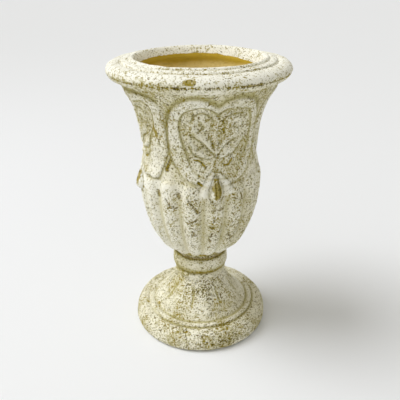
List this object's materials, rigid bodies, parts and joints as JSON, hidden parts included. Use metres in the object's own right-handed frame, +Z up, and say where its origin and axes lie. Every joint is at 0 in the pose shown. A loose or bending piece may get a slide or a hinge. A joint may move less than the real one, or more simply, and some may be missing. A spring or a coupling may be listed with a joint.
{
  "type": "urn vase",
  "caption": "Bell-mouthed urn vase with heart ribbons and gadroons on a round rolled pedestal, cast in two parts drawn together by a tie rod.",
  "frame": {"origin": "centre of the circle that the felt pads stand on, at table level", "axes": "+Z up the urn's axis; -Y through the middle of one heart"},
  "size_m": [0.197, 0.197, 0.33],
  "materials": {
    "cast_stone": "matte",
    "mortar": "matte",
    "zinc_steel": "satin",
    "black_rubber": "matte",
    "felt": "matte"
  },
  "bodies": {
    "root": {"bowl_casting": "cast_stone", "pedestal_casting": "cast_stone", "neck_mortar": "mortar", "tie_rod": "zinc_steel", "sealing_washer": "black_rubber", "upper_washer": "zinc_steel", "upper_nut": "zinc_steel", "lower_washer": "zinc_steel", "lower_nut": "zinc_steel", "foot_pads": "felt"}
  },
  "joints": []
}
